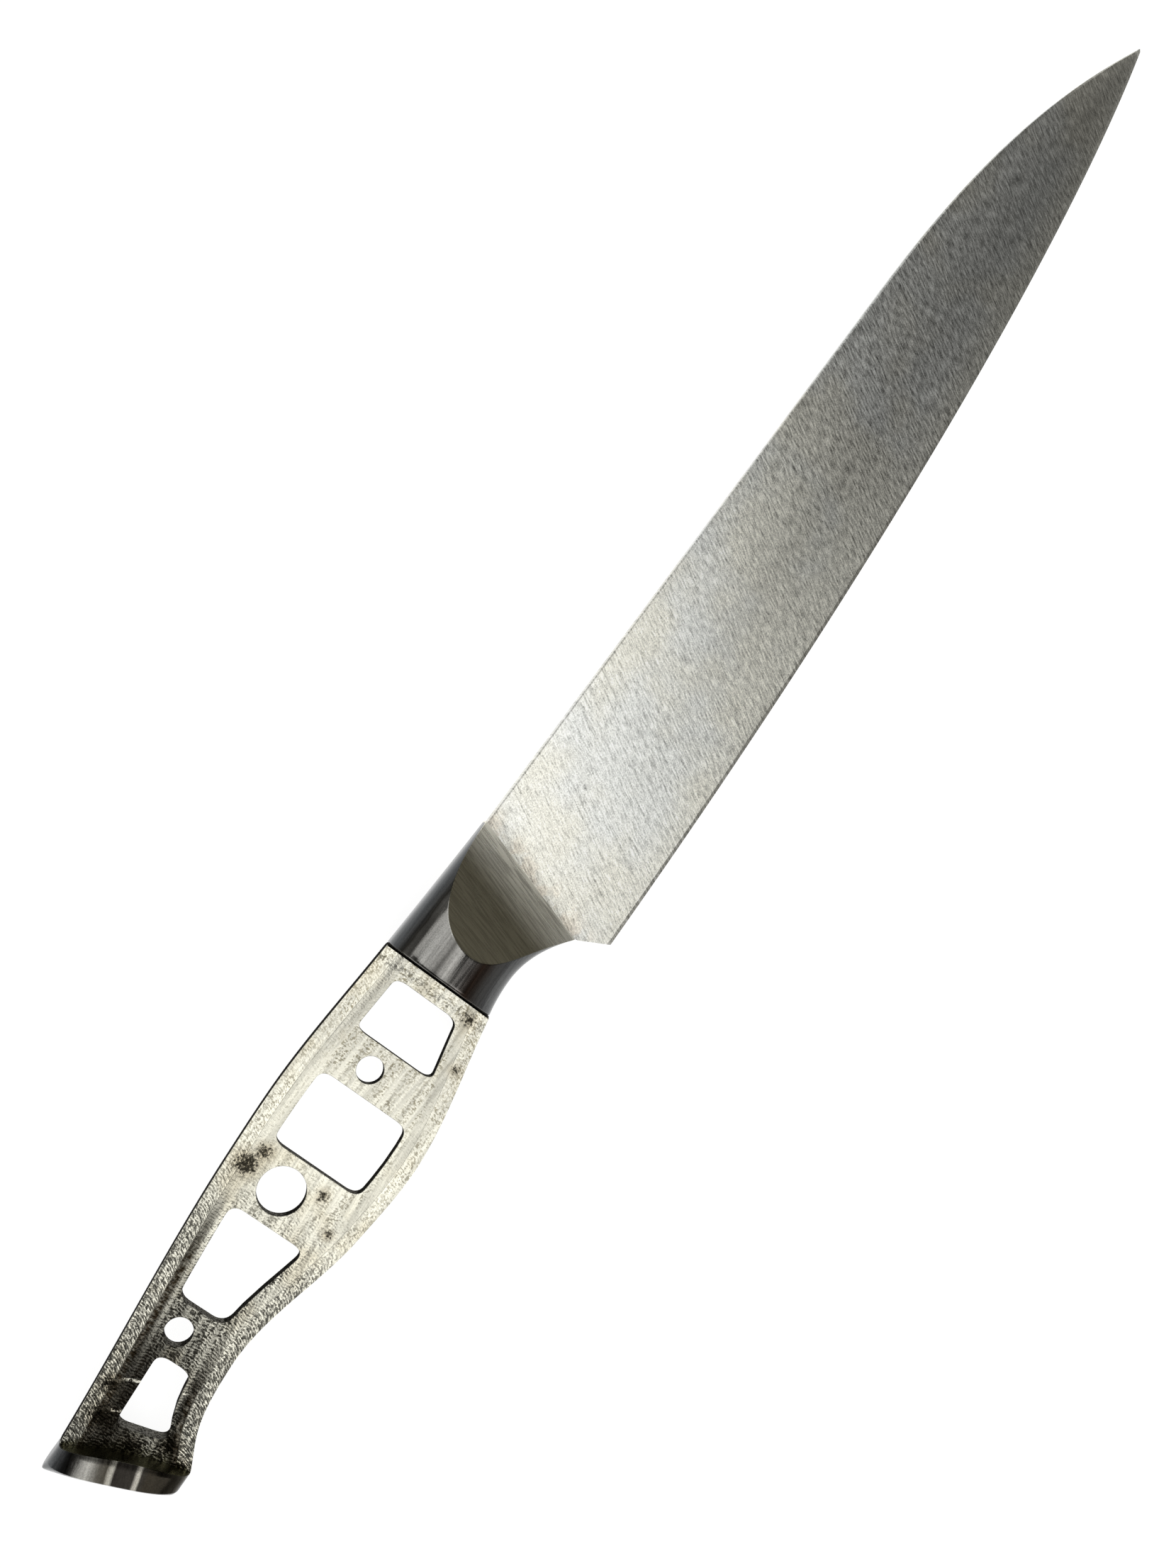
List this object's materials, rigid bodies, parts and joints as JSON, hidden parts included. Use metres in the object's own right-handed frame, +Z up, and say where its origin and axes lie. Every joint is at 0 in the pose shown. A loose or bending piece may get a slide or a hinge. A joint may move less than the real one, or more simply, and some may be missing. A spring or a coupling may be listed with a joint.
{
  "type": "slicing knife blank",
  "caption": "Unhandled slicing knife: satin blade, oval bolster with a hollow-ground front, skeleton tang with windows and pin holes, domed butt cap.",
  "frame": {"origin": "middle of the bottom of the box of the knife lying on its side", "axes": "+X from the butt to the tip, +Y from the edge to the spine, +Z up, out of the face that the picture shows"},
  "size_m": [0.319, 0.0324, 0.0146],
  "materials": {
    "blade_steel": "satin, ground across",
    "bolster_steel": "polished round, ground front",
    "tang_steel": "milled",
    "cap_steel": "polished"
  },
  "bodies": {
    "root": {"blade": "blade_steel", "bolster": "bolster_steel", "tang": "tang_steel", "butt_cap": "cap_steel"}
  },
  "joints": []
}
